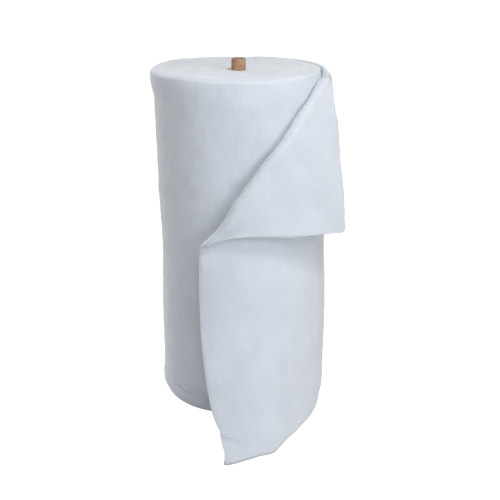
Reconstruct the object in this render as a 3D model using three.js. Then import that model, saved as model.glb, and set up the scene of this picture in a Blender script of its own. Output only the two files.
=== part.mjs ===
// A roll of quilt batting standing on end. The batting is wound on a cardboard tube that stands a little
// out of its top, and the last turn has come loose: it leaves the roll at the back, comes round the right
// side and leans out to the floor in front, with its top corner folded outward and down like a lapel.
//
// Millimetres, +Z up. While the pieces are worked out, the roll's axis is x = y = 0, the floor is z = 0 and
// the open front looks along -Y. A place is given as turn (degrees anticlockwise from +X, seen from above),
// out (distance from the roll's axis) and up (height over the floor).

import * as THREE from "three";

// Driving dimensions
const CLOTH_WIDTH = 1228;
const LOFT = 14;
const TUBE_RADIUS = 25;
const TUBE_WALL = 5;
const TUBE_SHOWS = 31;
const TUBE_SIDES = 48;
const FIT = 0.3;

// The roll: the loose end leaves it at LEAVES_AT, and each turn inward lies one loft deeper. Its rings stand
// at SIDE_HEIGHTS up the side and at TOP_INWARD, as shares of the way in from the rim to the tube. The rim's
// rounding is RIM_DEEP as deep as it reaches inward
const LEAVES_AT = 75;
const STEP_SLANT = 0.1;
const ROLL_COLUMNS = 66;
const RIM_DEEP = 0.64;
const RIM_STEPS = 5;
const FOOT_ROUND = 7;
const BELLY_UP = 24;
const TOP_DISH = 9;
const RISE_FADE = 3.2;
const UNDER_INWARD = 0.45;
const SIDE_HEIGHTS = [20, 36, 46, 62, 110, 220, 340, 460, 590, 720, 850, 980, 1080, 1140, 1175];
const TOP_INWARD = [0.25, 0.55, 0.85, 1];

// The loose end: clear of the roll where it hugs it, leaning out below its chest, with a crease over its hem
const START_GAP = 0.16;
const LOOSE_CLEAR = 1.3;
const CREASE_UP = 45;
const CHEST_UP = 690;
const TOP_UP = 1190;
const LOOSE_OVER = 3;
const LEAN_OUT_POWER = 1.12;
const TOE_POWER = 1.4;
const TOE_START = 0.07;

// Its fold: how far below its crest a rib starts to bend, and how the folded flap hangs
const CREST_OVER_START = 21;
const UNFOLDED_SPAN = 30;
const FLAP_OUT = 340;
const FLAP_LIFTS_FROM = -70;
const FLAP_HUMP = 155;
const FLAP_BULGE = 30;
const HUMP_START = 0.05;
const BULGE_LATE = 1.4;
const LONG_FLAP = 420;
const HALF_BENT = 0.5;

// Its rows and edges
const RIBS_BACK = { from: LEAVES_AT, to: 10, step: 6 };
const RIBS_FRONT = { from: 6, to: -109, step: 3.7 };
const LAST_RIBS = [-110.4, -111.5];
const HEM_ROWS = [0, 14, 30, 48, 64, 100];
const SHEET_ROWS = 12;
const ROWS_CLOSE_UP = 1.6;
const BEND_ROWS = 8;
const BEND_MOST = 0.7;
const FLAP_ROWS = 8;
const SELVAGE_ROW = 6;
const SELVAGE_SHARE = 0.55;
const LEVEL_BELOW = 20;
const LEVEL_FADE = 60;

const named = (columns, rows) =>
  rows.map((row) => Object.fromEntries(columns.map((name, i) => [name, row[i]])));

// Radius of the wound roll at the height, where its outermost turn begins
const ROLL_PROFILE = named(
  ["up", "out"],
  [
    [0, 297],
    [70, 300],
    [300, 299],
    [590, 294.5],
    [760, 297],
    [1000, 300.5],
    [1220, 300.5],
  ],
);

// How far the open side swells out round its soft foot: on the floor, and a little over it
const FOOT_SWELL = named(
  ["turn", "sole", "belly"],
  [
    [75, 0, 0],
    [150, 0, 3],
    [190, 0, 9],
    [218, 10, 12],
    [232, 11, 12],
    [250, 7, 8],
    [290, 0, 0],
    [435, 0, 0],
  ],
);
const FOOT_SHARE = named(
  ["up", "share"],
  [
    [0, 1],
    [24, 1],
    [40, 0.55],
    [50, 0],
    [64, 0.15],
    [120, 0],
  ],
);

// How far the rim swells out and rises, how far in its rounding reaches, and how far it leans in under the
// loose end
const RIM = named(
  ["turn", "swell", "rise", "round", "lean"],
  [
    [75, 0, 0, 6, 5],
    [110, 3, 3, 18, 4],
    [150, 13, 6, 28, 0],
    [185, 13, 4, 32, 0],
    [208, 8, 3, 28, 3],
    [232, 3, 2, 24, 7],
    [290, 0, 0, 22, 8],
    [320, 0, 0, 18, 6],
    [345, 0, 0, 5, 4],
    [435, 0, 0, 4, 5],
  ],
);
const RIM_SHARE = named(
  ["up", "share"],
  [
    [900, 0],
    [1060, 0.1],
    [1110, 0.15],
    [1141, 0.3],
    [1165, 0.65],
    [1185, 0.95],
    [1205, 1],
    [1240, 1],
  ],
);
const LEAN_SHARE = named(
  ["up", "share"],
  [
    [1120, 0],
    [1160, 0.1],
    [1190, 0.35],
    [1210, 0.65],
    [1228, 1],
    [1260, 1.3],
  ],
);

// How far the loose end stands off the roll beyond hugging it: at the chest and the top of the sheet, at
// the crease just over the floor, and the toe that its hem kicks out on the floor itself
const STAND_OFF = named(
  ["turn", "toe", "foot", "chest", "top"],
  [
    [-112, 78, 217, 42, 16],
    [-95, 76, 217, 40, 14],
    [-87, 47, 218, 39, 13],
    [-82, 34, 214, 38, 12],
    [-78, 36, 207, 38, 11],
    [-74.5, 22, 195, 37, 10],
    [-70, 11, 172, 36, 9],
    [-63.5, 6, 147, 35, 7],
    [-57, 4, 123, 34, 5],
    [-49, 3, 101, 33, 4],
    [-41, 2, 80, 32, 2],
    [-33, 2, 61, 31, 1],
    [-22, 2, 42, 29, 0],
    [0, 1, 35, 24, 0],
    [25, 0, 24, 15, 0],
    [50, 0, 9, 5, 0],
    [66, 0, 0, 0, 0],
    [75, 0, 0, 0, 0],
  ],
);

// Turn at which the cut end of the cloth hangs, from the floor up to the fold
const CUT_END = named(
  ["up", "turn"],
  [
    [0, -94.9],
    [14, -94.9],
    [30, -95.8],
    [48, -97],
    [64, -97],
    [94, -98.7],
    [130, -100.6],
    [310, -105.9],
    [480, -110],
    [590, -111.8],
    [650, -112.2],
    [690, -111.5],
    [1300, -111.5],
  ],
);

// Each rib of the cloth rises at its turn to the crest of the fold, and bends over by its share of a half
// turn, at its round. Its tip is where the old top selvage comes to lie
const FOLD = named(
  ["turn", "crest", "bend", "round", "tipTurn", "tipUp", "tipOut"],
  [
    [-111.5, 689, 1, 8.5, -30.5, 688, 418],
    [-107.5, 708, 1, 9, -28.6, 691, 421],
    [-104.5, 725, 1, 10, -28.2, 701, 421],
    [-99, 765, 1, 11.5, -28, 730, 418],
    [-91.5, 842, 1, 11.5, -27.8, 812, 412],
    [-84.9, 899, 1, 11.5, -27.6, 870, 403],
    [-75.7, 966, 1, 11.5, -26.8, 944, 387],
    [-66.6, 1017, 1, 11.5, -25.8, 1000, 377],
    [-58.6, 1067, 1, 11.5, -24.8, 1053, 368],
    [-44.6, 1138, 1, 12, -23.5, 1129, 349],
    [-34.7, 1176, 1, 12.5, -20, 1172, 338],
    [-22, 1206, 1, 12.5, -14, 1204, 326],
    [-16, 1215, 0.93, 12.5, -12, 1212, 321],
    [-8, 1225, 0.6, 12.5, -8, 1220, 319],
    [2, 1233, 0.18, 12, 2, 1226, 318],
    [12, 1240, 0, 11.5, 12, 1234, 316],
    [75, 1240, 0, 11.5, 75, 1234, 316],
  ],
);

const radians = (degrees) => (degrees * Math.PI) / 180;
const degrees = (angle) => (angle * 180) / Math.PI;
const mix = (a, b, share) => a + (b - a) * share;
const clamp01 = (value) => Math.min(1, Math.max(0, value));
const smooth = (value) => clamp01(value) ** 2 * (3 - 2 * clamp01(value));

// A column of a table at a place between its rows, as one smooth curve
function read(table, by, at, column) {
  const last = table.length - 1;
  if (at <= table[0][by]) return table[0][column];
  if (at >= table[last][by]) return table[last][column];
  const i = table.findIndex((row) => row[by] > at) - 1;
  const slope = (k) => (table[k + 1][column] - table[k][column]) / (table[k + 1][by] - table[k][by]);
  const tangent = (k) => {
    if (k === 0 || k === last) return 0;
    const before = slope(k - 1);
    const after = slope(k);
    return before * after <= 0 ? 0 : (2 * before * after) / (before + after);
  };
  const span = table[i + 1][by] - table[i][by];
  const s = (at - table[i][by]) / span;
  return (
    table[i][column] * (1 + 2 * s) * (1 - s) ** 2 +
    table[i + 1][column] * (3 - 2 * s) * s ** 2 +
    span * (tangent(i) * s * (1 - s) ** 2 - tangent(i + 1) * s ** 2 * (1 - s))
  );
}

// Radius of the roll's own surface. Turns below LEAVES_AT lie under the loose end, one loft further in
function rollOut(turn, up) {
  const unwound = turn < LEAVES_AT ? turn + 360 : turn;
  const deeper = (LOFT * (unwound - LEAVES_AT)) / 360;
  const foot = mix(
    read(FOOT_SWELL, "turn", unwound, "sole"),
    read(FOOT_SWELL, "turn", unwound, "belly"),
    smooth(up / BELLY_UP),
  );
  const low = foot * read(FOOT_SHARE, "up", up, "share");
  const high = read(RIM, "turn", unwound, "swell") * read(RIM_SHARE, "up", up, "share");
  const lean = read(RIM, "turn", unwound, "lean") * read(LEAN_SHARE, "up", up, "share");
  return read(ROLL_PROFILE, "up", up, "out") - deeper + low + high - lean;
}

// Middle of the loose sheet's thickness, where it isn't folded
function sheetOut(turn, up) {
  const of = (column) => read(STAND_OFF, "turn", turn, column);
  let stands = mix(of("chest"), of("top"), clamp01((up - CHEST_UP) / (TOP_UP - CHEST_UP)));
  if (up < CHEST_UP) {
    const below = (CHEST_UP - up) / (CHEST_UP - CREASE_UP);
    const inToe = clamp01((CREASE_UP - up) / CREASE_UP) ** TOE_POWER;
    stands = mix(of("chest"), of("foot"), below ** LEAN_OUT_POWER) + (of("toe") - of("foot") * TOE_START) * inToe;
  }
  return rollOut(turn, up) + LOOSE_CLEAR + LOFT / 2 + Math.max(0, stands);
}

const toPoint = ({ turn, out, up }) =>
  new THREE.Vector3(out * Math.cos(radians(turn)), out * Math.sin(radians(turn)), up);

// One closed mesh from rings of equal length, each joined to the next and the last to the first
function ringsMesh(rings) {
  const columns = rings[0].length;
  const geometry = new THREE.BufferGeometry().setFromPoints(rings.flat());
  const index = [];
  rings.forEach((ring, r) => {
    const next = (r + 1) % rings.length;
    for (let c = 0; c < columns; c++) {
      const d = (c + 1) % columns;
      const [a, b, e, f] = [r * columns + c, r * columns + d, next * columns + d, next * columns + c];
      index.push(a, b, e, a, e, f);
    }
  });
  return geometry.setIndex(index);
}

// Wound roll: a spiral outline with a rounded foot and rim, a slightly dished top and the tube's bore
function woundRoll() {
  const bore = (TUBE_RADIUS + FIT) / Math.cos(Math.PI / ROLL_COLUMNS);
  const ring = (place) =>
    Array.from({ length: ROLL_COLUMNS + 1 }, (_, c) => {
      const spiral = LEAVES_AT + ((360 - STEP_SLANT) * c) / ROLL_COLUMNS;
      const even = LEAVES_AT + (360 * c) / (ROLL_COLUMNS + 1);
      const { inward = 0, up, drawnIn = 0 } = place(spiral);
      const edge = rollOut(spiral, up) - drawnIn;
      return toPoint({ turn: mix(spiral, even, inward), out: mix(edge, bore, inward), up });
    });
  const rim = (spiral, column) => read(RIM, "turn", spiral, column);

  const rings = [ring(() => ({ inward: 1, up: 0 })), ring(() => ({ inward: UNDER_INWARD, up: 0 }))];
  rings.push(ring(() => ({ up: 0, drawnIn: FOOT_ROUND })));
  for (const up of [FOOT_ROUND, ...SIDE_HEIGHTS]) rings.push(ring(() => ({ up })));
  for (let i = 0; i <= RIM_STEPS; i++) {
    const angle = ((Math.PI / 2) * i) / RIM_STEPS;
    const sunk = RIM_DEEP * (1 - Math.sin(angle));
    const drawn = 1 - Math.cos(angle);
    const up = (spiral) => CLOTH_WIDTH + rim(spiral, "rise") - rim(spiral, "round") * sunk;
    rings.push(ring((spiral) => ({ up: up(spiral), drawnIn: rim(spiral, "round") * drawn })));
  }
  for (const inward of TOP_INWARD) {
    const up = CLOTH_WIDTH - TOP_DISH * Math.sin((inward * Math.PI) / 2);
    const risen = 1 - smooth(inward * RISE_FADE);
    rings.push(ring((spiral) => ({ inward, up: up + rim(spiral, "rise") * risen, drawnIn: rim(spiral, "round") })));
  }
  return ringsMesh(rings);
}

// Lengths along a rib: up to where it starts to bend, round the bend, and across the flap
function ribLengths(rib) {
  const at = (column) => read(FOLD, "turn", rib, column);
  const bend = at("bend");
  const fullArc = Math.PI * at("round") * Math.SQRT2;
  const arc = Math.max(fullArc * bend, UNFOLDED_SPAN);
  const start = Math.min(at("crest") - CREST_OVER_START, CLOTH_WIDTH + LOOSE_OVER - arc);
  const flapFrom = rib + degrees(fullArc / 2 / FLAP_OUT);
  const flap = bend > HALF_BENT ? Math.max(radians(at("tipTurn") - flapFrom) * FLAP_OUT, 0) : 0;
  return { start, arc, flap, bend };
}

// Where a rib of the loose end is, at a distance along it from the hem. A rib is named by its turn at the fold
function ribPoint(rib, along) {
  const share = (LEAVES_AT - rib) / (LEAVES_AT - read(CUT_END, "up", CLOTH_WIDTH, "turn"));
  const turnAt = (up) => mix(LEAVES_AT - START_GAP, read(CUT_END, "up", up, "turn"), share);
  const { start, arc, flap, bend } = ribLengths(rib);
  if (along <= start) {
    const turn = turnAt(along);
    return { turn, out: sheetOut(turn, along), up: along };
  }
  const foldTurn = turnAt(start);
  const round = bend > 0 ? (arc * Math.SQRT1_2) / (Math.PI * bend) : 0;
  const bent = Math.min(along - start, arc);
  const angle = round > 0 ? (bent * Math.SQRT1_2) / round : 0;
  const swing = round * Math.SQRT1_2 * Math.sin(angle);
  const across = round > 0 ? bent / 2 - swing : 0;
  const rise = round > 0 ? bent / 2 + swing : bent;
  const away = round * (1 - Math.cos(angle));
  const turn = foldTurn + degrees(across / sheetOut(foldTurn, start));
  const up = start + rise;
  if (along <= start + arc) return { turn, out: sheetOut(turn, Math.min(up, CLOTH_WIDTH)) + away, up };

  const gone = (along - start - arc) / flap;
  const [tipTurn, tipUp, tipOut] = ["tipTurn", "tipUp", "tipOut"].map((column) => read(FOLD, "turn", rib, column));
  const flapTurn = mix(turn, tipTurn, gone);
  const rising = Math.sqrt(gone + HUMP_START) - Math.sqrt(HUMP_START);
  const humped = rising * (1 - gone) * clamp01(flap / LONG_FLAP) ** 2;
  const flapUp = mix(up, tipUp, gone) + FLAP_HUMP * humped;
  const liftsFrom = Math.max(turn, FLAP_LIFTS_FROM);
  const lifted = clamp01((flapTurn - liftsFrom) / (tipTurn - liftsFrom)) ** 2;
  const lift = (tipOut - sheetOut(tipTurn, tipUp) - away) * lifted;
  const bulged = Math.sin(Math.PI * gone ** BULGE_LATE) ** 2 * (flap / LONG_FLAP) ** 3;
  return { turn: flapTurn, out: sheetOut(flapTurn, flapUp) + away + lift + FLAP_BULGE * bulged, up: flapUp };
}

// Turns of the ribs and the rows along them, both closer where the sheet bends more
function ribTurns() {
  const turns = [];
  for (const { from, to, step } of [RIBS_BACK, RIBS_FRONT]) {
    for (let turn = from; turn > to; turn -= step) turns.push(turn);
  }
  return [...turns, ...LAST_RIBS];
}

function rowsAlong(rib) {
  const { start, arc, flap } = ribLengths(rib);
  const rest = arc + flap;
  const bendShare = Math.min(arc / rest, BEND_MOST);
  const selvage = Math.min(SELVAGE_ROW / rest, (1 - bendShare) / 4);
  const hemTop = HEM_ROWS[HEM_ROWS.length - 1];
  const spread = (from, to, count) => Array.from({ length: count }, (_, i) => mix(from, to, (i + 1) / count));
  return [
    ...HEM_ROWS,
    ...spread(0, 1, SHEET_ROWS).map((share) => mix(start, hemTop, (1 - share) ** ROWS_CLOSE_UP)),
    ...spread(start, start + rest * bendShare, BEND_ROWS),
    ...spread(start + rest * bendShare, start + rest * (1 - selvage), FLAP_ROWS),
    start + rest,
  ];
}

// Loose end: the middle surface of ribs and rows, thickened both ways and closed with thinner edges
function looseEnd() {
  const middle = ribTurns().map((rib) => rowsAlong(rib).map((along) => toPoint(ribPoint(rib, along))));
  const ribs = middle.length;
  const rows = middle[0].length;
  const halfThickness = (i, j) => {
    const alongRib = middle[i][Math.min(j + 1, rows - 1)].clone().sub(middle[i][Math.max(j - 1, 0)]);
    const acrossRibs = middle[Math.min(i + 1, ribs - 1)][j].clone().sub(middle[Math.max(i - 1, 0)][j]);
    const normal = alongRib.cross(acrossRibs);
    normal.z *= clamp01((middle[i][j].z - LEVEL_BELOW) / LEVEL_FADE);
    const thin = i === ribs - 1 || j === rows - 1 ? SELVAGE_SHARE : 1;
    return normal.setLength((thin * LOFT) / 2);
  };
  const thickness = middle.map((rib, i) => rib.map((_, j) => halfThickness(i, j)));
  const face = (side) => middle.flatMap((rib, i) => rib.map((p, j) => p.clone().addScaledVector(thickness[i][j], side)));
  const points = [...face(1), ...face(-1)];

  const id = (side, i, j) => (side * ribs + i) * rows + j;
  const index = [];
  const quad = (a, b, c, d) => index.push(a, b, c, a, c, d);
  for (let i = 0; i < ribs - 1; i++) {
    for (let j = 0; j < rows - 1; j++) {
      quad(id(0, i, j), id(0, i, j + 1), id(0, i + 1, j + 1), id(0, i + 1, j));
      quad(id(1, i, j), id(1, i + 1, j), id(1, i + 1, j + 1), id(1, i, j + 1));
    }
  }
  const rim = [];
  for (let i = 0; i < ribs - 1; i++) rim.push([i, 0]);
  for (let j = 0; j < rows - 1; j++) rim.push([ribs - 1, j]);
  for (let i = ribs - 1; i > 0; i--) rim.push([i, rows - 1]);
  for (let j = rows - 1; j > 0; j--) rim.push([0, j]);
  rim.forEach(([i, j], k) => {
    const [nextI, nextJ] = rim[(k + 1) % rim.length];
    quad(id(0, i, j), id(0, nextI, nextJ), id(1, nextI, nextJ), id(1, i, j));
  });
  return new THREE.BufferGeometry().setFromPoints(points).setIndex(index);
}

// Core: the cardboard tube, from the floor through the roll
function coreTube() {
  const top = CLOTH_WIDTH + TUBE_SHOWS;
  const inner = TUBE_RADIUS - TUBE_WALL;
  const outline = [
    [inner, 0],
    [TUBE_RADIUS, 0],
    [TUBE_RADIUS, top],
    [inner, top],
    [inner, 0],
  ].map(([out, up]) => new THREE.Vector2(out, up));
  return new THREE.LatheGeometry(outline, TUBE_SIDES).rotateX(Math.PI / 2);
}

function mesh(name, geometry, color, roughness) {
  const made = new THREE.Mesh(geometry, new THREE.MeshStandardMaterial({ color, roughness, metalness: 0 }));
  made.name = name;
  return made;
}

// The part's origin is under the middle of the whole thing
const piece = new THREE.Group();
piece.add(mesh("wound_roll", woundRoll(), 0xdde2e8, 0.95));
piece.add(mesh("loose_end", looseEnd(), 0xe4e9f0, 0.95));
piece.add(mesh("core_tube", coreTube(), 0xaa8769, 0.8));
const box = new THREE.Box3().setFromObject(piece);
piece.position.set(-(box.min.x + box.max.x) / 2, -(box.min.y + box.max.y) / 2, -box.min.z);

const group = new THREE.Group();
group.add(piece);

export default group;
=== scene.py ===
"""Looks of the roll of quilt batting: its wound body with the fine turns on both ends, the loose end that is
folded over like a lapel, and the cardboard tube, with a plain floor, light and camera.

Sizes are in millimetres and angles in degrees, and a mesh is turned to metres as it is made. A place on the
roll is a turn (anticlockwise from +X, seen from above), out (from the roll's axis) and up (over the floor).
"""

import math

import bpy
import numpy as np
from mathutils import Euler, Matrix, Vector


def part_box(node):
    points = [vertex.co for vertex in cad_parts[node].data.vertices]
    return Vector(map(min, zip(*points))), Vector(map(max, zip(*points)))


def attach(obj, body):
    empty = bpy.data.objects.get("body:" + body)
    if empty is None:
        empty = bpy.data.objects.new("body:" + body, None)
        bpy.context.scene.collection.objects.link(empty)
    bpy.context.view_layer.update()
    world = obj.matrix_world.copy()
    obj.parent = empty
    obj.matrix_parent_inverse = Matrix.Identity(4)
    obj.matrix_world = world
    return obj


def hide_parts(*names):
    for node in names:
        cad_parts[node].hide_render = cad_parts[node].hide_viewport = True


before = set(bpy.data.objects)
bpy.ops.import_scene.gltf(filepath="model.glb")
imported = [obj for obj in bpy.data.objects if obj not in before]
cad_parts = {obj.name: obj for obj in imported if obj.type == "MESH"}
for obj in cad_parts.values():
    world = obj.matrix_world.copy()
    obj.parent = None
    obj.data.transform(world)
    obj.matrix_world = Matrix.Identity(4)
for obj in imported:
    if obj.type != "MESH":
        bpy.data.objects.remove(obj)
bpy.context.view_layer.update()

MM = 0.001
TUBE_LOW, TUBE_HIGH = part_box("core_tube")
AXIS = ((TUBE_LOW.x + TUBE_HIGH.x) / 2, (TUBE_LOW.y + TUBE_HIGH.y) / 2)
TUBE_TOP = TUBE_HIGH.z / MM
TUBE_RADIUS = (TUBE_HIGH.x - TUBE_LOW.x) / 2 / MM
TUBE_WALL = 5
TUBE_SHOWS = 31
ROLL_TOP = TUBE_TOP - TUBE_SHOWS

# Keeps a division from zero
TINY = 1e-6

# The roll: the loose end leaves it at LEAVES_AT, and each turn inward lies one loft deeper. The rounding of
# its rim is RIM_DEEP as deep as it reaches inward, and its rise is gone at 1 / RISE_FADE of the way in
LOFT = 14
ROLL_RADIUS = 300
LEAVES_AT = 75
STEP_SLANT = 0.1
FOOT_ROUND = 7
BELLY_UP = 24
RIM_DEEP = 0.64
RISE_FADE = 3.2
TOP_DISH = 9

# The loose end: clear of the roll where it hugs it, leaning out below its chest, with a crease over its hem
LOOSE_CLEAR = 1.3
CREASE_UP = 45
CREASE_OUT = 500
CHEST_UP = 690
TOP_UP = 1190
LOOSE_OVER = 3
LEAN_OUT_POWER = 1.12
TOE_POWER = 1.4
TOE_START = 0.07
CUT_END_TURN = -111.5
CUT_END_OUT = 360

# Its start: a little over the roll's surface where it leaves the roll, then sinking under it, with a top edge
# that dips there. The other way it comes clear of the roll over CLEAR_OVER degrees
START_OVER = 0.3
START_UNDER = 2.0
SINKS_AFTER = 2
SINKS_OVER = 9
CLEAR_OVER = 32
DIP = 14
DIPS_FROM = 76
DIPS_OVER = 8

# Its fold: how far below its crest a rib starts to bend, and how the folded flap hangs
CREST_OVER_START = 21
UNFOLDED_SPAN = 30
HALF_BENT = 0.5
HARDLY_BENT = 1e-3
FLAP_OUT = 340
FLAP_LIFTS_FROM = -70
FLAP_HUMP = 155
FLAP_BULGE = 30
HUMP_START = 0.05
BULGE_LATE = 1.4
LONG_FLAP = 420

# The swelling of the cloth: height, wavelength and random seed of each part of it. That of the loft is a
# share of the loft
ROLL_LUMPS = ((1.6, 240, 1), (0.7, 75, 2), (0.35, 26, 3))
SHEET_LUMPS = ((2.5, 330, 11), (1.2, 120, 12))
LOFT_LUMPS = ((0.07, 90, 13),)
OUTER_FACE_LUMPS = ((0.55, 60, 14), (0.35, 24, 24))
INNER_FACE_LUMPS = ((0.55, 60, 15), (0.35, 24, 25))


def named(columns, rows):
    """A table as a dict of column arrays."""
    return dict(zip(columns.split(), np.array(rows, float).T))


# Radius of the wound roll at the height, where its outermost turn begins
ROLL_PROFILE = named(
    "up out",
    [(0, 297), (70, 300), (300, 299), (590, 294.5), (760, 297), (1000, 300.5), (1220, 300.5)],
)

# How far the open side swells out round its soft foot: on the floor, and a little over it
FOOT_SWELL = named(
    "turn sole belly",
    [
        (75, 0, 0),
        (150, 0, 3),
        (190, 0, 9),
        (218, 10, 12),
        (232, 11, 12),
        (250, 7, 8),
        (290, 0, 0),
        (435, 0, 0),
    ],
)
FOOT_SHARE = named("up share", [(0, 1), (24, 1), (40, 0.55), (50, 0), (64, 0.15), (120, 0)])

# How far the rim swells out and rises, how far in its rounding reaches, and how far it leans in under the
# loose end
RIM = named(
    "turn swell rise round lean",
    [
        (75, 0, 0, 6, 5),
        (110, 3, 3, 18, 4),
        (150, 13, 6, 28, 0),
        (185, 13, 4, 32, 0),
        (208, 8, 3, 28, 3),
        (232, 3, 2, 24, 7),
        (290, 0, 0, 22, 8),
        (320, 0, 0, 18, 6),
        (345, 0, 0, 5, 4),
        (435, 0, 0, 4, 5),
    ],
)
LEAN_SHARE = named("up share", [(1120, 0), (1160, 0.1), (1190, 0.35), (1210, 0.65), (1228, 1), (1260, 1.3)])
RIM_SHARE = named(
    "up share",
    [(900, 0), (1060, 0.1), (1110, 0.15), (1141, 0.3), (1165, 0.65), (1185, 0.95), (1205, 1), (1240, 1)],
)

# How far the loose end stands off the roll beyond hugging it: at the chest and the top of the sheet, at
# the crease just over the floor, and the toe that its hem kicks out on the floor itself
STAND_OFF = named(
    "turn toe foot chest top",
    [
        (-112, 78, 217, 42, 16),
        (-95, 76, 217, 40, 14),
        (-87, 47, 218, 39, 13),
        (-82, 34, 214, 38, 12),
        (-78, 36, 207, 38, 11),
        (-74.5, 22, 195, 37, 10),
        (-70, 11, 172, 36, 9),
        (-63.5, 6, 147, 35, 7),
        (-57, 4, 123, 34, 5),
        (-49, 3, 101, 33, 4),
        (-41, 2, 80, 32, 2),
        (-33, 2, 61, 31, 1),
        (-22, 2, 42, 29, 0),
        (0, 1, 35, 24, 0),
        (25, 0, 24, 15, 0),
        (50, 0, 9, 5, 0),
        (66, 0, 0, 0, 0),
        (75, 0, 0, 0, 0),
    ],
)

# Turn at which the cut end of the cloth hangs, from the floor up to the fold
CUT_END = named(
    "up turn",
    [
        (0, -94.9),
        (14, -94.9),
        (30, -95.8),
        (48, -97),
        (64, -97),
        (94, -98.7),
        (130, -100.6),
        (310, -105.9),
        (480, -110),
        (590, -111.8),
        (650, -112.2),
        (690, -111.5),
        (1300, -111.5),
    ],
)

# Each rib of the cloth rises at its turn to the crest of the fold, and bends over by its share of a half
# turn, at its round. Its tip is where the old top selvage comes to lie
FOLD = named(
    "turn crest bend round tip_turn tip_up tip_out",
    [
        (-111.5, 689, 1, 8.5, -30.5, 688, 418),
        (-107.5, 708, 1, 9, -28.6, 691, 421),
        (-104.5, 725, 1, 10, -28.2, 701, 421),
        (-99, 765, 1, 11.5, -28, 730, 418),
        (-91.5, 842, 1, 11.5, -27.8, 812, 412),
        (-84.9, 899, 1, 11.5, -27.6, 870, 403),
        (-75.7, 966, 1, 11.5, -26.8, 944, 387),
        (-66.6, 1017, 1, 11.5, -25.8, 1000, 377),
        (-58.6, 1067, 1, 11.5, -24.8, 1053, 368),
        (-44.6, 1138, 1, 12, -23.5, 1129, 349),
        (-34.7, 1176, 1, 12.5, -20, 1172, 338),
        (-22, 1206, 1, 12.5, -14, 1204, 326),
        (-16, 1215, 0.93, 12.5, -12, 1212, 321),
        (-8, 1225, 0.6, 12.5, -8, 1220, 319),
        (2, 1233, 0.18, 12, 2, 1226, 318),
        (12, 1240, 0, 11.5, 12, 1234, 316),
        (75, 1240, 0, 11.5, 75, 1234, 316),
    ],
)

# Soft creases: a trough from one place to another, with its depth and half width. A ridge has a negative
# depth. A crease loses CREASE_FADE of its depth from its middle to its ends
CREASE_FADE = 0.6
ROLL_CREASES = named(
    "turn_a up_a turn_b up_b depth width",
    [
        (196, 78, 262, 68, 6, 6),
        (186, 60, 240, 52, 5, 6),
        (210, 100, 256, 92, 1.5, 9),
        (120, 52, 186, 58, 4, 8),
        (178, 1128, 215, 1142, 2.5, 12),
    ],
)
SHEET_CREASES = named(
    "turn_a up_a turn_b up_b depth width",
    [
        (-99, 47, -94, 50, 9, 6),
        (-94, 50, -90.5, 41, 7, 6),
        (-90.5, 41, -84, 30, 5, 7),
        (-84, 30, -78, 18, 3, 8),
        (-92, 27, -88, 27, 2.5, 5),
        (-98, 63, -90, 60, -2, 10),
    ],
)


def mix(a, b, share):
    return a + (b - a) * share


def clamp01(value):
    return np.clip(value, 0.0, 1.0)


def smooth(value):
    """From 0 to 1 with a soft start and end."""
    value = clamp01(value)
    return value * value * (3 - 2 * value)


def read(table, by, at, column):
    """A column of a table at places between its rows, as one smooth curve that doesn't overshoot."""
    xs, ys = table[by], table[column]
    at = np.clip(np.asarray(at, float), xs[0], xs[-1])
    slopes = np.diff(ys) / np.diff(xs)
    before, after = slopes[:-1], slopes[1:]
    total = np.where(before + after == 0, 1, before + after)
    tangents = np.concatenate([[0], np.where(before * after <= 0, 0, 2 * before * after / total), [0]])
    i = np.clip(np.searchsorted(xs, at, side="right") - 1, 0, len(xs) - 2)
    span = xs[i + 1] - xs[i]
    s = (at - xs[i]) / span
    return (
        ys[i] * (1 + 2 * s) * (1 - s) ** 2
        + ys[i + 1] * (3 - 2 * s) * s**2
        + span * (tangents[i] * s * (1 - s) ** 2 - tangents[i + 1] * s**2 * (1 - s))
    )


def lumps(points, wavelength, seed, waves=16):
    """Soft random swelling, about -1 to 1, at places given in millimetres."""
    rng = np.random.default_rng(seed)
    direction = rng.normal(size=(waves, 3))
    direction /= np.linalg.norm(direction, axis=1)[:, None]
    length = wavelength * rng.uniform(0.7, 1.6, waves)
    phase = rng.uniform(0, 2 * math.pi, waves)
    total = np.zeros(points.shape[:-1])
    for d, size, start in zip(direction, length, phase):
        total += np.sin(points @ d * (2 * math.pi / size) + start)
    return total / math.sqrt(waves)


def swelling(points, parts):
    """Sum of lumps, each given as its height, wavelength and seed."""
    return sum(height * lumps(points, wavelength, seed) for height, wavelength, seed in parts)


def creased(table, turn, up, out):
    """Sum of the table's creases at each place, in millimetres outward."""
    total = np.zeros(np.broadcast(turn, up).shape)
    for k in range(len(table["depth"])):
        row = {name: column[k] for name, column in table.items()}
        ax, ay = math.radians(row["turn_a"]) * out, row["up_a"]
        bx, by = math.radians(row["turn_b"]) * out, row["up_b"]
        x, y = np.radians(turn) * out, up
        along = ((x - ax) * (bx - ax) + (y - ay) * (by - ay)) / ((bx - ax) ** 2 + (by - ay) ** 2)
        near = clamp01(along)
        gap = np.hypot(x - mix(ax, bx, near), y - mix(ay, by, near))
        fade = 1 - CREASE_FADE * np.abs(2 * near - 1) ** 2
        total -= row["depth"] * fade * np.exp(-((gap / row["width"]) ** 2))
    return total


def to_points(turn, out, up):
    """Places on the roll as points in millimetres, with the roll's axis at x = y = 0."""
    angle = np.radians(turn)
    return np.stack([out * np.cos(angle), out * np.sin(angle), np.broadcast_to(up, out.shape)], axis=-1)


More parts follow.
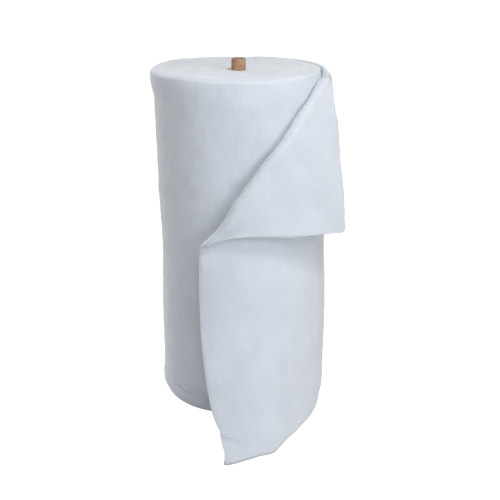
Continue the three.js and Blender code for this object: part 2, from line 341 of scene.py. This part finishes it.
def swell(unwound, up):
    """How far the roll swells out at its foot and its rim, less its lean under the loose end."""
    sole, belly = (read(FOOT_SWELL, "turn", unwound, column) for column in ("sole", "belly"))
    foot = mix(sole, belly, smooth(up / BELLY_UP))
    rim = read(RIM, "turn", unwound, "swell")
    lean = read(RIM, "turn", unwound, "lean") * read(LEAN_SHARE, "up", up, "share")
    return foot * read(FOOT_SHARE, "up", up, "share") + rim * read(RIM_SHARE, "up", up, "share") - lean


def roll_out(turn, up):
    """Radius of the roll's surface. Turns below LEAVES_AT lie under the loose end, one loft further in."""
    unwound = np.where(turn < LEAVES_AT, turn + 360, turn)
    deeper = LOFT * (unwound - LEAVES_AT) / 360
    return read(ROLL_PROFILE, "up", up, "out") - deeper + swell(unwound, up)


def sheet_out(turn, up):
    """Middle of the loose sheet's thickness, where it isn't folded."""
    columns = {name: read(STAND_OFF, "turn", turn, name) for name in ("toe", "foot", "chest", "top")}
    below_chest = ((CHEST_UP - up) / (CHEST_UP - CREASE_UP)).clip(0)
    low = mix(columns["chest"], columns["foot"], below_chest**LEAN_OUT_POWER)
    in_toe = clamp01((CREASE_UP - up) / CREASE_UP) ** TOE_POWER
    low = np.where(up < CREASE_UP, low + (columns["toe"] - TOE_START * columns["foot"]) * in_toe, low)
    high = mix(columns["chest"], columns["top"], clamp01((up - CHEST_UP) / (TOP_UP - CHEST_UP)))
    stands = np.maximum(np.where(below_chest > 0, low, high), 0)
    loose = roll_out(turn, up) + LOOSE_CLEAR + LOFT / 2 + stands
    sunk = mix(-START_OVER, START_UNDER, clamp01((turn - LEAVES_AT - SINKS_AFTER) / SINKS_OVER))
    wound = read(ROLL_PROFILE, "up", up, "out") - LOFT * (turn - LEAVES_AT) / 360 + swell(turn, up)
    apart = smooth((LEAVES_AT - turn) / CLEAR_OVER)
    return mix(wound - LOFT / 2 - sunk, loose, apart)


def rib_lengths(rib):
    """Lengths along a rib: to where it starts to bend, round the bend and across the flap. Then its bend."""
    bend = read(FOLD, "turn", rib, "bend")
    full_arc = math.pi * read(FOLD, "turn", rib, "round") * math.sqrt(2)
    arc = np.maximum(full_arc * bend, UNFOLDED_SPAN)
    start = np.minimum(read(FOLD, "turn", rib, "crest") - CREST_OVER_START, ROLL_TOP + LOOSE_OVER - arc)
    start = start - DIP * smooth((rib - DIPS_FROM) / DIPS_OVER)
    flap_from = rib + np.degrees(full_arc / 2 / FLAP_OUT)
    flap = np.maximum(np.radians(read(FOLD, "turn", rib, "tip_turn") - flap_from) * FLAP_OUT, 0)
    return start, arc, np.where(bend > HALF_BENT, flap, 0), bend


def rib_places(rib, along):
    """Turn, out and up of the sheet's middle, for ribs and distances along them from the hem."""
    share = (LEAVES_AT - rib) / (LEAVES_AT - CUT_END_TURN)

    def turn_at(up):
        return mix(LEAVES_AT, read(CUT_END, "up", up, "turn"), share)

    start, arc, flap, bend = rib_lengths(rib)
    plain_turn = turn_at(along)
    plain_out = sheet_out(plain_turn, along) + creased(SHEET_CREASES, plain_turn, along, CREASE_OUT)

    fold_turn = turn_at(start)
    straight = bend < HARDLY_BENT
    radius = arc * math.sqrt(0.5) / (math.pi * np.where(straight, 1, bend))
    bent = np.clip(along - start, 0, arc)
    angle = np.where(straight, 0, bent * math.sqrt(0.5) / radius)
    swing = radius * math.sqrt(0.5) * np.sin(angle)
    across = np.where(straight, 0, bent / 2 - swing)
    rise = np.where(straight, bent, bent / 2 + swing)
    away = np.where(straight, 0, radius * (1 - np.cos(angle)))
    bent_turn = fold_turn + np.degrees(across / sheet_out(fold_turn, start))
    bent_up = start + rise
    bent_out = sheet_out(bent_turn, np.minimum(bent_up, ROLL_TOP)) + away

    gone = clamp01((along - start - arc) / np.maximum(flap, TINY)) * (flap > 0)
    tip_turn, tip_up, tip_out = (read(FOLD, "turn", rib, c) for c in ("tip_turn", "tip_up", "tip_out"))
    flap_turn = mix(bent_turn, tip_turn, gone)
    humped = (np.sqrt(gone + HUMP_START) - math.sqrt(HUMP_START)) * (1 - gone)
    flap_up = mix(bent_up, tip_up, gone) + FLAP_HUMP * (humped * clamp01(flap / LONG_FLAP) ** 2)
    lifts_from = np.maximum(bent_turn, FLAP_LIFTS_FROM)
    lifted = clamp01((flap_turn - lifts_from) / np.where(flap > 0, tip_turn - lifts_from, 1)) ** 2
    lift = (tip_out - sheet_out(tip_turn, tip_up) - away) * lifted
    bulged = np.sin(math.pi * gone**BULGE_LATE) ** 2 * (flap / LONG_FLAP) ** 3
    flap_out = sheet_out(flap_turn, flap_up) + away + lift + FLAP_BULGE * bulged

    plain, folding = along <= start, along <= start + arc
    turn = np.where(plain, plain_turn, np.where(folding, bent_turn, flap_turn))
    out = np.where(plain, plain_out, np.where(folding, bent_out, flap_out))
    up = np.where(plain, along, np.where(folding, bent_up, flap_up))
    return turn, out, up


# Meshes

def make_mesh(name, points, faces, material):
    """One object of points in millimetres round the roll's axis, in the frame's metres."""
    verts = np.asarray(points, float).reshape(-1, 3) * MM + np.array([AXIS[0], AXIS[1], 0])
    data = bpy.data.meshes.new(name)
    data.from_pydata(verts.tolist(), [], np.asarray(faces).tolist())
    data.validate()
    data.polygons.foreach_set("use_smooth", [True] * len(data.polygons))
    data.materials.append(material)
    obj = bpy.data.objects.new(name, data)
    bpy.context.scene.collection.objects.link(obj)
    return obj


def ring_faces(rings, columns):
    """Faces that join each ring to the next, and the last to the first."""
    r, c = np.meshgrid(np.arange(rings), np.arange(columns), indexing="ij")
    d, s = (c + 1) % columns, (r + 1) % rings
    return np.stack([r * columns + c, r * columns + d, s * columns + d, s * columns + c], -1).reshape(-1, 4)


# Columns round the roll, and rows up its foot, its creases, its side and its rim. On its ends, rows per turn
ROLL_COLUMNS = 270
FOOT_ROWS = 4
LOW_ROWS = 26
SIDE_ROWS = 100
RIM_ROWS = 12
TURN_ROWS = 7
UNDER_ROWS = 4
FOOT_ROWS_FROM = 0.25
LOW_FROM = 10
LOW_TO = 110
SIDE_FROM = 118
SIDE_TO = ROLL_TOP - 32

# The grooves between the turns on its ends, upward on the underside. Each turn has lumps of its own, which
# change its groove's depth by about PROUD of it. They are taken TURNS_APART, so that no two turns match
TOP_GROOVE = 2.6
UNDER_GROOVE = -1.3
ROUND_TURNS = 0.55
PROUD = 0.35
PROUD_LENGTH = 260
TURNS_APART = 211
RIM_FADE = 30
TUBE_FADE = 40
TOP_SEED = 9
UNDER_SEED = 5
TUBE_GAP = 0.4

# The roll's lumps fade towards the tube, the floor and the step. They push the side out and the top up
TUBE_EASE = 60
FLOOR_EASE = 25
START_EASE = 30
PUSH_UP_FROM = ROLL_TOP - 22
PUSH_UP_OVER = 18
PUSH_UP = 0.8


def end_face(spiral, even, rim, inward, flat_up, groove, seed):
    """A ring of one end of the roll, with the groove between each turn and the next."""
    edge = roll_out(spiral, flat_up) - rim
    out = mix(edge, TUBE_RADIUS + TUBE_GAP, inward)
    turn = mix(spiral, even, inward)
    layer = (roll_out(spiral, flat_up) - out) / LOFT
    points = to_points(turn, out, np.zeros_like(out))
    own_place = np.stack([np.floor(layer) * TURNS_APART, points[..., 0], points[..., 1]], -1)
    proud = PROUD * lumps(own_place, PROUD_LENGTH, seed)
    ridge = np.abs(np.sin(math.pi * layer)) ** ROUND_TURNS
    fades_in = smooth((1 - inward) * TUBE_FADE) * smooth(inward * RIM_FADE)
    points[..., 2] = flat_up + groove * (1 + proud) * (ridge - 1) * fades_in
    return points


def roll_rings(spiral):
    """Rings of the roll: out from the tube on its underside, up its side, round its rim and in on its top."""
    c = np.arange(ROLL_COLUMNS + 1)
    even = LEAVES_AT + 360 * c / (ROLL_COLUMNS + 1)
    rise = read(RIM, "turn", spiral, "rise")
    rim = read(RIM, "turn", spiral, "round")
    rings = []
    turns = (ROLL_RADIUS - TUBE_RADIUS) / LOFT
    under_rows, face_rows = int(turns * UNDER_ROWS), int(turns * TURN_ROWS)

    for i in range(under_rows, 0, -1):
        inward = i / under_rows
        rings.append(end_face(spiral, even, FOOT_ROUND, inward, 0.0, UNDER_GROOVE, UNDER_SEED))
    rings.append(to_points(spiral, roll_out(spiral, 0.0) - FOOT_ROUND, np.zeros_like(spiral)))

    foot_angles = np.linspace(FOOT_ROWS_FROM, 1, FOOT_ROWS) * math.pi / 2
    heights = np.concatenate(
        [
            FOOT_ROUND * (1 - np.cos(foot_angles)),
            np.linspace(LOW_FROM, LOW_TO, LOW_ROWS),
            np.linspace(SIDE_FROM, SIDE_TO, SIDE_ROWS),
        ]
    )
    for up in heights:
        out = roll_out(spiral, up) + creased(ROLL_CREASES, spiral, up, ROLL_RADIUS)
        out = out - FOOT_ROUND * (1 - math.sqrt(1 - max(0, 1 - up / FOOT_ROUND) ** 2))
        rings.append(to_points(spiral, out, np.full_like(out, up)))
    for step in np.linspace(0, 1, RIM_ROWS):
        angle = step * math.pi / 2
        up = ROLL_TOP - RIM_DEEP * rim * (1 - math.sin(angle)) + rise
        out = roll_out(spiral, up) - rim * (1 - math.cos(angle))
        rings.append(to_points(spiral, out, up))
    for i in range(1, face_rows + 1):
        inward = i / face_rows
        ring = end_face(spiral, even, rim, inward, ROLL_TOP, TOP_GROOVE, TOP_SEED)
        ring[..., 2] += rise * (1 - smooth(inward * RISE_FADE)) - TOP_DISH * math.sin(inward * math.pi / 2)
        rings.append(ring)
    return np.array(rings)


def wound_batting(material):
    """The roll: spiral side with its waist and creases, rounded rim, dished top and grooved turns."""
    spiral = LEAVES_AT + (360 - STEP_SLANT) * np.arange(ROLL_COLUMNS + 1) / ROLL_COLUMNS
    points = roll_rings(spiral)
    out = np.hypot(points[..., 0], points[..., 1])
    from_tube = smooth((out - TUBE_EASE) / TUBE_EASE)
    from_floor = smooth(points[..., 2] / FLOOR_EASE)
    from_start = smooth(np.minimum(spiral - LEAVES_AT, LEAVES_AT + 360 - spiral) / START_EASE)
    push = swelling(points, ROLL_LUMPS) * from_tube * from_floor * from_start
    radial = points[..., :2] / out[..., None]
    top = smooth((points[..., 2] - PUSH_UP_FROM) / PUSH_UP_OVER)
    points[..., :2] += radial * (push * (1 - top))[..., None]
    points[..., 2] += push * top * PUSH_UP
    return make_mesh("wound_batting", points, ring_faces(len(points), ROLL_COLUMNS + 1), material)


# Ribs of the loose end from the back round to its cut end, and rows along them. The rows of the bend take
# BEND_MOST of what is left of a rib at most, and the edges thin down to EDGE_THIN over EDGE_TAPER
FIRST_RIB = 86
RIB_COUNT = 185
HEM_TOP = 110
ROWS_HEM = 14
ROWS_SHEET = 52
ROWS_BEND = 18
ROWS_FLAP = 44
BEND_MOST = 0.7
EDGE_STEPS = 8
EDGE_TAPER = 15
EDGE_THIN = 0.06

# Its thickness is level up to LEVEL_BELOW over the floor, and square to the cloth from LEVEL_FADE higher up
LEVEL_BELOW = 20
LEVEL_FADE = 60

# Its lumps fade towards the roll and the floor
FREE_AFTER = 10
FREE_OVER = 60
FREE_UP = 60
FINE_UP = 18


def sheet_ribs():
    """Turns of the ribs, closer together towards the cut end."""
    from_end = EDGE_TAPER * np.linspace(1, 0, EDGE_STEPS) ** 2
    last_ribs = CUT_END_TURN + np.degrees(from_end / CUT_END_OUT)
    return np.concatenate([np.linspace(FIRST_RIB, last_ribs[0], RIB_COUNT)[:-1], last_ribs])[:, None]


def sheet_rows(ribs):
    """Distances along the ribs from the hem, and how far each is from the old selvage."""
    start, arc, flap, _ = rib_lengths(ribs)
    rest = arc + flap
    bend_share = np.minimum(arc / rest, BEND_MOST)
    taper = np.minimum(EDGE_TAPER, rest * (1 - bend_share) / 2)
    along = np.concatenate(
        [
            np.broadcast_to(np.linspace(0, HEM_TOP, ROWS_HEM), (len(ribs), ROWS_HEM)),
            mix(HEM_TOP, start, np.linspace(0, 1, ROWS_SHEET + 1)[1:]),
            start + rest * bend_share * np.linspace(0, 1, ROWS_BEND + 1)[1:],
            start + mix(rest * bend_share, rest - taper, np.linspace(0, 1, ROWS_FLAP + 1)[1:]),
            start + rest - taper * np.linspace(1, 0, EDGE_STEPS)[1:] ** 2,
        ],
        axis=1,
    )
    return along, (start + rest - along) / np.maximum(taper / EDGE_TAPER, TINY)


def thickness_ways(middle):
    """Which way the thickness of the loose end goes at each place of its middle."""
    way = np.cross(np.gradient(middle, axis=1), np.gradient(middle, axis=0))
    way[..., 2] *= clamp01((middle[..., 2] - LEVEL_BELOW) / LEVEL_FADE)
    return way / np.linalg.norm(way, axis=-1)[..., None]


def thick_faces(n, m):
    """Faces of the outer and the inner side of a sheet of n by m places, and round its edge."""
    i, j = np.meshgrid(np.arange(n - 1), np.arange(m - 1), indexing="ij")
    a, b, c, d = i * m + j, i * m + j + 1, (i + 1) * m + j + 1, (i + 1) * m + j
    outer = np.stack([a, b, c, d], -1).reshape(-1, 4)
    inner = np.stack([a, d, c, b], -1).reshape(-1, 4) + n * m
    edge = [(i, 0) for i in range(n - 1)] + [(n - 1, j) for j in range(m - 1)]
    edge += [(i, m - 1) for i in range(n - 1, 0, -1)] + [(0, j) for j in range(m - 1, 0, -1)]
    edge = np.array(edge) @ [m, 1]
    ahead = np.roll(edge, -1)
    return np.concatenate([outer, inner, np.stack([ahead, ahead + n * m, edge + n * m, edge], -1)])


def loose_batting(material):
    """The loose end: a thick soft sheet on ribs from the floor over the fold to the old selvage."""
    ribs = sheet_ribs()
    along, to_selvage = sheet_rows(ribs)
    turn, out, up = rib_places(np.broadcast_to(ribs, along.shape), along)
    middle = to_points(turn, out, up)
    way = thickness_ways(middle)

    free = smooth((LEAVES_AT - FREE_AFTER - turn) / FREE_OVER) * smooth(middle[..., 2] / FREE_UP)
    middle += way * (swelling(middle, SHEET_LUMPS) * free)[..., None]
    to_cut = np.radians(ribs - CUT_END_TURN) * CUT_END_OUT
    by_cut, by_selvage = (np.sqrt(1 - (1 - clamp01(gap / EDGE_TAPER)) ** 2) for gap in (to_cut, to_selvage))
    thinned = np.maximum(by_cut * by_selvage, EDGE_THIN)
    half = LOFT / 2 * (1 + swelling(middle, LOFT_LUMPS) * free) * thinned
    from_floor = smooth(middle[..., 2] / FINE_UP)
    outer = half + swelling(middle, OUTER_FACE_LUMPS) * from_floor * free
    inner = half + swelling(middle, INNER_FACE_LUMPS) * from_floor * free
    points = np.concatenate([middle + way * outer[..., None], middle - way * inner[..., None]])
    points[..., 2] = np.maximum(points[..., 2], 0)
    return make_mesh("loose_batting", points, thick_faces(*middle.shape[:2]), material)


# The tube: columns round it, and the heights of its rings, closer together where it shows
TUBE_COLUMNS = 160
HIDDEN_RINGS = np.linspace(8, TUBE_TOP - 60, 12)
SHOWN_RINGS = np.linspace(TUBE_TOP - 58, TUBE_TOP - 1.4, 72)
BORE_RINGS = np.linspace(TUBE_TOP - 6, 8, 30)

# Its worn end: the radius of its outer and its inner corner, the rings over them, and the wear's unevenness
WORN_OUTSIDE = 1.2
WORN_INSIDE = 0.8
OUTSIDE_ANGLES = np.linspace(0.2, math.pi / 2, 5)
END_SHARES = np.linspace(0.12, 1, 9)
INSIDE_ANGLES = np.linspace(0.3, math.pi / 2, 4)
WORN_FROM = TUBE_TOP - 2
WORN_DEEP = 0.35
WORN_LENGTH = 14
WORN_SEED = 40

# The spiral seam of its outer ply
SEAM_LEAD = 150
SEAM_START = 0.31
SEAM_DEPTH = 0.5
SEAM_WIDTH = 1.1


def tube_outline(inner):
    """Out and up of the tube's rings, up its outside, over its worn end and down its bore."""
    outline = [(inner, 0.0), (TUBE_RADIUS, 0.0)]
    outline += [(TUBE_RADIUS, up) for up in np.concatenate([HIDDEN_RINGS, SHOWN_RINGS])]
    for a in OUTSIDE_ANGLES:
        out = TUBE_RADIUS - WORN_OUTSIDE * (1 - math.cos(a))
        outline.append((out, TUBE_TOP - WORN_OUTSIDE * (1 - math.sin(a))))
    for share in END_SHARES:
        outline.append((mix(TUBE_RADIUS - WORN_OUTSIDE, inner + WORN_INSIDE, share), TUBE_TOP))
    for a in INSIDE_ANGLES:
        out = inner + WORN_INSIDE * (1 - math.sin(a))
        outline.append((out, TUBE_TOP - WORN_INSIDE * (1 - math.cos(a))))
    outline += [(inner, up) for up in BORE_RINGS]
    return outline


def board_tube(material):
    """The cardboard tube, with rounded worn ends and the spiral seam of its outer ply."""
    angle = np.arange(TUBE_COLUMNS) * 2 * math.pi / TUBE_COLUMNS
    rings = []
    for out, up in tube_outline(TUBE_RADIUS - TUBE_WALL):
        radius = np.full(TUBE_COLUMNS, float(out))
        if out == TUBE_RADIUS and up > 0:
            from_seam = (up - angle / (2 * math.pi) * SEAM_LEAD + SEAM_START * SEAM_LEAD) % SEAM_LEAD
            from_seam = np.minimum(from_seam, SEAM_LEAD - from_seam)
            radius -= SEAM_DEPTH * np.exp(-((from_seam / SEAM_WIDTH) ** 2))
        ring = np.stack([radius * np.cos(angle), radius * np.sin(angle), np.full(TUBE_COLUMNS, up)], -1)
        if up > WORN_FROM:
            ring[:, 2] += WORN_DEEP * lumps(ring, WORN_LENGTH, WORN_SEED) - WORN_DEEP
        rings.append(ring)
    return make_mesh("board_tube", np.array(rings), ring_faces(len(rings), TUBE_COLUMNS), material)


# Materials

# The batting's white where its web is thick and where it is thin, how much lighter its fibres are, the scale
# of its clouding, and how far light goes into it, in metres
WEB_WHITE = (0.715, 0.757, 0.82)
THIN_WHITE = (0.655, 0.698, 0.765)
FIBRE_LIGHTER = 1.06
WEB_CLOUDS = 11.0
LIGHT_SINKS = 0.013

# The four layers of fibres: how each is turned, and how far each is moved on from the one before
FIBRE_TILTS = ((0.3, 0.9, 0.1), (1.3, -0.4, 0.8), (-0.7, 0.5, 2.0), (0.9, 1.8, -0.6))
FIBRE_SHIFT = (3.1, 1.7, 5.3)

# The tube's board, where it is worn dark and where it is clean
BOARD_DARK = (0.27, 0.162, 0.095)
BOARD_LIGHT = (0.58, 0.37, 0.225)

# Sockets of a Mix node for colours
MIX_FACTOR = 0
MIX_FIRST = 6
MIX_SECOND = 7
MIX_RESULT = 2


def new_group(name, inputs, outputs):
    """An empty shader node group with named sockets."""
    tree = bpy.data.node_groups.new(name, "ShaderNodeTree")
    for label, kind, value in inputs:
        socket = tree.interface.new_socket(name=label, in_out="INPUT", socket_type=kind)
        if value is not None:
            socket.default_value = value
    for label, kind in outputs:
        tree.interface.new_socket(name=label, in_out="OUTPUT", socket_type=kind)
    return tree, tree.nodes.new("NodeGroupInput"), tree.nodes.new("NodeGroupOutput")


def add(tree, kind, values=(), **settings):
    """A node with its settings, and values or links for its sockets by name or number."""
    made = tree.nodes.new(kind)
    for key, value in settings.items():
        setattr(made, key, value)
    for key, value in dict(values).items():
        socket = made.inputs[key]
        if isinstance(value, bpy.types.NodeSocket):
            tree.links.new(value, socket)
        else:
            socket.default_value = value
    return made


def maths(tree, operation, a, b=None, clamp=False):
    values = {0: a} if b is None else {0: a, 1: b}
    return add(tree, "ShaderNodeMath", values, operation=operation, use_clamp=clamp).outputs[0]


def two_colours(tree, factor, low_at, low, high_at, high):
    """A colour that goes from low to high as the factor goes from one place to the other."""
    ramp = add(tree, "ShaderNodeValToRGB", {"Fac": factor})
    for stop, place, color in zip(ramp.color_ramp.elements, (low_at, high_at), (low, high)):
        stop.position = place
        stop.color = (*color, 1)
    return ramp.outputs[0]


def fibre_web_group():
    """Criss-cross fibres, the fine nap between them and the slow clouding of a bonded web."""
    tree, inside, outside = new_group(
        "fibre_web",
        [
            ("Vector", "NodeSocketVector", None),
            ("Fibre Scale", "NodeSocketFloat", 60.0),
            ("Cloud Scale", "NodeSocketFloat", 14.0),
        ],
        [("Height", "NodeSocketFloat"), ("Cloud", "NodeSocketFloat"), ("Fibres", "NodeSocketFloat")],
    )
    web = None
    place = inside.outputs["Vector"]
    for k, tilt in enumerate(FIBRE_TILTS):
        shift = tuple(k * step for step in FIBRE_SHIFT)
        spun = add(
            tree,
            "ShaderNodeMapping",
            {"Vector": place, "Rotation": tilt, "Scale": (1.0, 1.0, 0.3), "Location": shift},
        )
        noise = add(
            tree,
            "ShaderNodeTexNoise",
            {
                "Vector": spun.outputs[0],
                "Scale": inside.outputs["Fibre Scale"],
                "Detail": 2.0,
                "Roughness": 0.5,
                "Distortion": 0.6,
            },
        )
        off = maths(tree, "ABSOLUTE", maths(tree, "SUBTRACT", noise.outputs["Fac"], 0.5))
        near = maths(tree, "SUBTRACT", 1.0, maths(tree, "MULTIPLY", off, 3.2), clamp=True)
        strand = maths(tree, "POWER", near, 5.0)
        web = strand if web is None else maths(tree, "MAXIMUM", web, strand)
    nap = add(tree, "ShaderNodeTexNoise", {"Vector": place, "Scale": 150.0, "Detail": 4.0, "Roughness": 0.65})
    cloud = add(
        tree,
        "ShaderNodeTexNoise",
        {
            "Vector": place,
            "Scale": inside.outputs["Cloud Scale"],
            "Detail": 4.0,
            "Roughness": 0.55,
            "Distortion": 0.3,
        },
    )
    half_web = maths(tree, "MULTIPLY", web, 0.5)
    half_nap = maths(tree, "MULTIPLY", nap.outputs["Fac"], 0.5)
    tree.links.new(maths(tree, "ADD", half_web, half_nap), outside.inputs["Height"])
    tree.links.new(cloud.outputs["Fac"], outside.inputs["Cloud"])
    tree.links.new(web, outside.inputs["Fibres"])
    return tree


def new_material(name):
    """A material with its tree, its shader and the places that its patterns are drawn at."""
    material = bpy.data.materials.new(name)
    material.use_nodes = True
    tree = material.node_tree
    tree.nodes.clear()
    shader = tree.nodes.new("ShaderNodeBsdfPrincipled")
    output = tree.nodes.new("ShaderNodeOutputMaterial")
    tree.links.new(shader.outputs["BSDF"], output.inputs["Surface"])
    place = tree.nodes.new("ShaderNodeTexCoord").outputs["Object"]
    return material, tree, shader, place


def set_inputs(shader, values):
    for label, value in values.items():
        shader.inputs[label].default_value = value


def batting_material():
    """White bonded polyester fleece: matt, a little bluish, clouded where the web is thinner."""
    material, tree, shader, place = new_material("batting")
    web = add(
        tree,
        "ShaderNodeGroup",
        {"Vector": place, "Cloud Scale": WEB_CLOUDS},
        node_tree=fibre_web_group(),
    )
    clouded = two_colours(tree, web.outputs["Cloud"], 0.3, THIN_WHITE, 0.7, WEB_WHITE)
    fibres = maths(tree, "MULTIPLY", web.outputs["Fibres"], 0.2)
    fibre_white = (*[min(1, FIBRE_LIGHTER * part) for part in WEB_WHITE], 1)
    white = add(
        tree,
        "ShaderNodeMix",
        {MIX_FACTOR: fibres, MIX_FIRST: clouded, MIX_SECOND: fibre_white},
        data_type="RGBA",
        blend_type="MIX",
    )
    tree.links.new(white.outputs[MIX_RESULT], shader.inputs["Base Color"])
    bump = add(tree, "ShaderNodeBump", {"Height": web.outputs["Height"], "Strength": 0.4, "Distance": 0.0025})
    tree.links.new(bump.outputs[0], shader.inputs["Normal"])
    set_inputs(
        shader,
        {
            "Roughness": 0.95,
            "Specular IOR Level": 0.15,
            "Sheen Weight": 0.25,
            "Sheen Roughness": 0.6,
            "Subsurface Weight": 1.0,
            "Subsurface Radius": (1, 1, 1),
            "Subsurface Scale": LIGHT_SINKS,
        },
    )
    return material


def board_material():
    """Kraft tube board: fine long fibres and darker worn patches."""
    material, tree, shader, place = new_material("tube_board")
    grain = add(
        tree,
        "ShaderNodeMapping",
        {"Vector": place, "Rotation": (0.0, 0.6, 0.3), "Scale": (1.0, 1.0, 0.25)},
    )
    fibre = add(
        tree,
        "ShaderNodeTexNoise",
        {"Vector": grain.outputs[0], "Scale": 320.0, "Detail": 5.0, "Roughness": 0.7},
    )
    patch = add(tree, "ShaderNodeTexNoise", {"Vector": place, "Scale": 38.0, "Detail": 3.0})
    most_fibre = maths(tree, "MULTIPLY", fibre.outputs["Fac"], 0.55)
    some_patch = maths(tree, "MULTIPLY", patch.outputs["Fac"], 0.45)
    worn = maths(tree, "ADD", most_fibre, some_patch)
    kraft = two_colours(tree, worn, 0.32, BOARD_DARK, 0.68, BOARD_LIGHT)
    tree.links.new(kraft, shader.inputs["Base Color"])
    bump = add(tree, "ShaderNodeBump", {"Height": fibre.outputs["Fac"], "Strength": 0.35, "Distance": 0.0006})
    tree.links.new(bump.outputs[0], shader.inputs["Normal"])
    set_inputs(shader, {"Roughness": 0.82, "Specular IOR Level": 0.3})
    return material


# Camera, floor and light

# The camera was fitted to the photo. It stands back from the roll's axis and up, in metres, and looks down
CAMERA_BACK = 2.667
CAMERA_UP = 1.592
CAMERA_PITCH = 21.5
CAMERA_LENS = 53.88
CAMERA_SENSOR = 36
CAMERA_SHIFT = 0.023
FLOOR_HALF = 45.0
FLOOR_UNDER = 0.0004
FLOOR_GLOW = 0.82
SKY = 0.09

# Square lights: name, power, azimuth (0 is from the viewer, 90 from the right), elevation, distance and side
SOFTBOXES = (
    ("front", 40, 0, 40, 4.0, 1.4),
    ("key", 50, 42, 60, 4.0, 0.8),
    ("overhead", 1.5, 0, 80, 2.5, 1.1),
)

# Lights from far away: name, strength, azimuth, elevation and how wide their source looks
SUNS = (
    ("low_right", 0.95, 38, 15, 30),
    ("back_left", 2.2, -138, 12, 40),
)


def make_camera():
    data = bpy.data.cameras.new("camera")
    data.sensor_width = CAMERA_SENSOR
    data.lens = CAMERA_LENS
    data.shift_x = CAMERA_SHIFT
    camera = bpy.data.objects.new("camera", data)
    camera.location = (AXIS[0], AXIS[1] - CAMERA_BACK, CAMERA_UP)
    camera.rotation_euler = Euler((math.radians(90 - CAMERA_PITCH), 0, 0))
    bpy.context.scene.collection.objects.link(camera)
    bpy.context.scene.camera = camera


def make_floor():
    """A white floor that its own material lights for the camera alone."""
    data = bpy.data.meshes.new("floor")
    sides = ((-1, -1), (1, -1), (1, 1), (-1, 1))
    corners = [(x * FLOOR_HALF, y * FLOOR_HALF, -FLOOR_UNDER) for x, y in sides]
    data.from_pydata(corners, [], [(0, 1, 2, 3)])
    floor = bpy.data.objects.new("floor", data)
    bpy.context.scene.collection.objects.link(floor)
    material = bpy.data.materials.new("floor_white")
    material.use_nodes = True
    tree = material.node_tree
    shader = tree.nodes["Principled BSDF"]
    seen = tree.nodes.new("ShaderNodeLightPath").outputs["Is Camera Ray"]
    tree.links.new(maths(tree, "MULTIPLY", seen, FLOOR_GLOW), shader.inputs["Emission Strength"])
    set_inputs(
        shader,
        {
            "Emission Color": (1, 1, 1, 1),
            "Base Color": (0.9, 0.9, 0.9, 1),
            "Roughness": 0.9,
            "Specular IOR Level": 0.1,
        },
    )
    data.materials.append(material)


def aimed_light(name, kind, power, azimuth, elevation):
    """A light that is turned to the roll, and the direction that it is in."""
    data = bpy.data.lights.new(name, kind)
    data.energy = power
    light = bpy.data.objects.new(name, data)
    a, e = math.radians(azimuth), math.radians(elevation)
    towards = Vector((math.sin(a) * math.cos(e), -math.cos(a) * math.cos(e), math.sin(e)))
    light.rotation_mode = "QUATERNION"
    light.rotation_quaternion = towards.to_track_quat("Z", "Y")
    bpy.context.scene.collection.objects.link(light)
    return light, towards


def softbox(name, power, azimuth, elevation, distance, side):
    light, towards = aimed_light(name, "AREA", power, azimuth, elevation)
    light.data.size = side
    light.location = Vector((AXIS[0], AXIS[1], ROLL_TOP / 2 * MM)) + towards * distance


def sun(name, strength, azimuth, elevation, width):
    light, _ = aimed_light(name, "SUN", strength, azimuth, elevation)
    light.data.angle = math.radians(width)


def make_light():
    """A dim sky that the camera sees as white, and the lights of the two tables."""
    world = bpy.data.worlds.new("studio")
    world.use_nodes = True
    tree = world.node_tree
    background = tree.nodes["Background"]
    background.inputs["Color"].default_value = (1, 1, 1, 1)
    path = tree.nodes.new("ShaderNodeLightPath")
    level = maths(tree, "ADD", maths(tree, "MULTIPLY", path.outputs["Is Camera Ray"], 1 - SKY), SKY)
    tree.links.new(level, background.inputs["Strength"])
    bpy.context.scene.world = world
    for row in SOFTBOXES:
        softbox(*row)
    for row in SUNS:
        sun(*row)
    bpy.context.scene.view_settings.view_transform = "Standard"


make_camera()
make_floor()
make_light()

batting = batting_material()
board = board_material()

roll = wound_batting(batting)
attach(roll, "root")
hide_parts("wound_roll")

loose = loose_batting(batting)
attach(loose, "root")
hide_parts("loose_end")

tube = board_tube(board)
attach(tube, "root")
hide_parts("core_tube")
